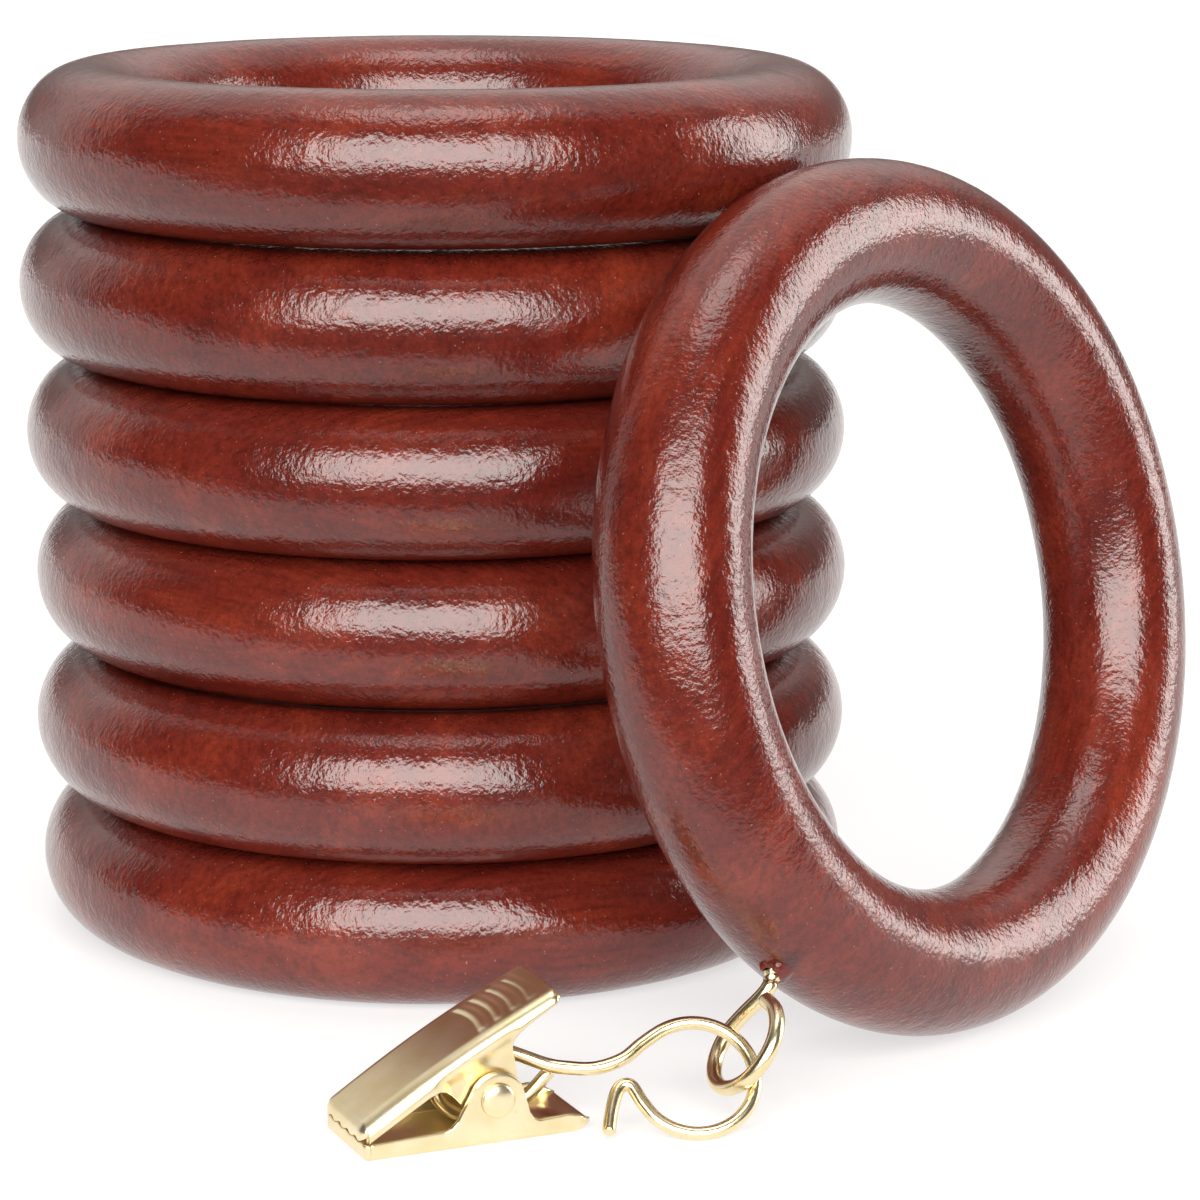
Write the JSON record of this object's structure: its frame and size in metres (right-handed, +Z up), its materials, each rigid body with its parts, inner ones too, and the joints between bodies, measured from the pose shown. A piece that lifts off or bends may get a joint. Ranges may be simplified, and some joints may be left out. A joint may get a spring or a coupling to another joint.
{
  "type": "curtain ring set",
  "caption": "Wooden curtain rings for a rod, stacked flat, with a leaning ring whose screw eye carries a wire hook and a sprung brass clip that grips a curtain's edge.",
  "frame": {"origin": "under the middle of the whole set's box, on the surface that the set stands on", "axes": "+Z up, along the axis of the stacked rings; +X to the right and +Y to the back, as seen from the side where the clip lies"},
  "size_m": [0.1072, 0.112, 0.0811],
  "materials": {
    "lacquered_wood": "glossy red-brown lacquer over turned wood",
    "brass_sheet": "bright brass plate, polished",
    "brass_wire": "drawn wire, bright brass plate"
  },
  "bodies": {
    "ring_1": {"ring_1": "lacquered_wood"},
    "ring_2": {"ring_2": "lacquered_wood"},
    "ring_3": {"ring_3": "lacquered_wood"},
    "ring_4": {"ring_4": "lacquered_wood"},
    "ring_5": {"ring_5": "lacquered_wood"},
    "ring_6": {"ring_6": "lacquered_wood"},
    "clip_ring": {"clip_ring": "lacquered_wood", "screw_eye": "brass_wire"},
    "clip": {"lower_jaw": "brass_sheet", "rivet": "brass_sheet", "hook_wire": "brass_wire"},
    "upper_jaw": {"upper_jaw": "brass_sheet"}
  },
  "joints": [
    {"name": "ring_2_lift", "type": "slide", "parent": "ring_1", "child": "ring_2", "axis": [0, 0, 1], "range_m": [0, 0.02]},
    {"name": "ring_3_lift", "type": "slide", "parent": "ring_2", "child": "ring_3", "axis": [0, 0, 1], "range_m": [0, 0.02]},
    {"name": "ring_4_lift", "type": "slide", "parent": "ring_3", "child": "ring_4", "axis": [0, 0, 1], "range_m": [0, 0.02]},
    {"name": "ring_5_lift", "type": "slide", "parent": "ring_4", "child": "ring_5", "axis": [0, 0, 1], "range_m": [0, 0.02]},
    {"name": "ring_6_lift", "type": "slide", "parent": "ring_5", "child": "ring_6", "axis": [0, 0, 1], "range_m": [0, 0.02]},
    {"name": "ring_tilt", "type": "hinge", "parent": "ring_1", "child": "clip_ring", "pos_m": [0.03068, -0.02184, 0], "axis": [0.6652, 0.7466, 0], "range_deg": [0, 12.8]},
    {"name": "hook_swing", "type": "hinge", "parent": "clip_ring", "child": "clip", "pos_m": [0.00515, -0.04798, 0.00413], "axis": [-0.0535, 0.7282, -0.6833], "range_deg": [0, 25]},
    {"name": "jaw_open", "type": "hinge", "parent": "clip", "child": "upper_jaw", "pos_m": [-0.01246, -0.04761, 0.00368], "axis": [-0.3665, 0.9304, 0], "range_deg": [0, 25], "stiffness_Nm_per_rad": 0.01, "springref_deg": -28.65}
  ]
}
